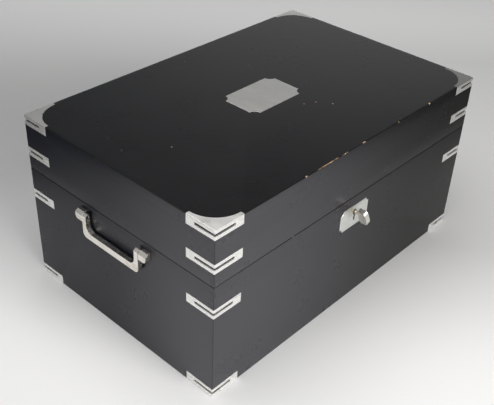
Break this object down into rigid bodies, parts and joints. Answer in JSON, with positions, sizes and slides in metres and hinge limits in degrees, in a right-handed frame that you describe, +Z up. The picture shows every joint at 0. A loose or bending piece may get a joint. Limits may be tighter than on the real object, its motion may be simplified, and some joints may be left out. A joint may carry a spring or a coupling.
{
  "type": "humidor",
  "caption": "Lockable cedar lined humidor chest with a hinged lid, lift-out tray, humidifier, hygrometer, drop handles and metal brackets let into its edges.",
  "frame": {"origin": "centre of the underside of the box, on the surface that it stands on", "axes": "+Z up, +X to the right along the long side when facing the lock, +Y from the front to the hinges"},
  "size_m": [0.4134, 0.2835, 0.193],
  "materials": {
    "lacquer": "satin black lacquer over hardwood",
    "cedar": "unfinished planed cedar",
    "satin_nickel": "satin nickel plate",
    "bright_nickel": "polished nickel plate",
    "hinge_nickel": "nickel plated steel",
    "lock_steel": "plain oiled steel",
    "baize": "dark wool baize",
    "black_plastic": "matt black moulding",
    "sponge": "open cell foam",
    "gauge_brass": "polished brass",
    "dial_card": "matt ivory with plain numbers",
    "needle_black": "satin black",
    "lens": "clear glass"
  },
  "bodies": {
    "base": {"base_front_panel": "lacquer", "base_right_panel": "lacquer", "base_back_panel": "lacquer", "base_left_panel": "lacquer", "bottom_panel": "lacquer", "baize_pad": "baize", "floor_lining": "cedar", "base_lining": "cedar", "tray_runners": "cedar", "base_edge_brackets": "satin_nickel", "foot_brackets": "satin_nickel", "escutcheon": "satin_nickel", "lock_case": "lock_steel", "lock_cover": "lock_steel", "lock_selvedge": "hinge_nickel", "lock_screws": "hinge_nickel", "left_handle_posts": "bright_nickel", "right_handle_posts": "bright_nickel", "handle_pins": "bright_nickel", "handle_screws": "lock_steel", "hinge_base_leaves": "hinge_nickel", "hinge_pins": "hinge_nickel", "hinge_base_screws": "hinge_nickel"},
    "lid": {"top_panel": "lacquer", "lid_front_rail": "lacquer", "lid_right_rail": "lacquer", "lid_back_rail": "lacquer", "lid_left_rail": "lacquer", "lid_lining": "cedar", "lid_ceiling": "cedar", "lid_corner_brackets": "satin_nickel", "lid_edge_brackets": "satin_nickel", "name_plate": "satin_nickel", "lock_catch": "hinge_nickel", "catch_screws": "hinge_nickel", "hinge_lid_leaves": "hinge_nickel", "hinge_lid_screws": "hinge_nickel", "humidifier_case": "black_plastic", "humidifier_plate": "lock_steel", "humidifier_sponge": "sponge", "hygrometer_case": "gauge_brass", "hygrometer_lens": "lens", "hygrometer_dial": "dial_card"},
    "needle": {"hygrometer_needle": "needle_black"},
    "left_bail": {"left_handle_bail": "bright_nickel"},
    "right_bail": {"right_handle_bail": "bright_nickel"},
    "key": {"key": "bright_nickel"},
    "bolt": {"lock_bolt": "lock_steel"},
    "tray": {"tray_front_board": "cedar", "tray_back_board": "cedar", "tray_left_board": "cedar", "tray_right_board": "cedar", "tray_floor": "cedar"},
    "divider": {"tray_divider": "cedar"}
  },
  "joints": [
    {"name": "lid_hinge", "type": "hinge", "parent": "base", "child": "lid", "pos_m": [0, 0.133, 0.133], "axis": [-1, 0, 0], "range_deg": [0, 95]},
    {"name": "left_handle_swing", "type": "hinge", "parent": "base", "child": "left_bail", "pos_m": [-0.2045, 0, 0.1211], "axis": [0, 1, 0], "range_deg": [0, 90]},
    {"name": "right_handle_swing", "type": "hinge", "parent": "base", "child": "right_bail", "pos_m": [0.2045, 0, 0.1211], "axis": [0, -1, 0], "range_deg": [0, 90]},
    {"name": "key_turn", "type": "hinge", "parent": "base", "child": "key", "pos_m": [-0.002, -0.13, 0.1135], "axis": [0, -1, 0], "range_deg": [-24, 66]},
    {"name": "bolt_slide", "type": "slide", "parent": "base", "child": "bolt", "axis": [1, 0, 0], "range_m": [-0.0016, 0.0044]},
    {"name": "tray_lift", "type": "slide", "parent": "base", "child": "tray", "axis": [0, 0, 1], "range_m": [0, 0.028]},
    {"name": "divider_slide", "type": "slide", "parent": "tray", "child": "divider", "axis": [1, 0, 0], "range_m": [-0.215, 0.115]},
    {"name": "needle_turn", "type": "hinge", "parent": "lid", "child": "needle", "pos_m": [0.085, 0, 0.165], "axis": [0, 0, 1], "range_deg": [-160, 80]}
  ],
  "couplings": [
    {"joint": "bolt_slide", "follows": "key_turn", "m_per_rad": 0.0038197}
  ]
}
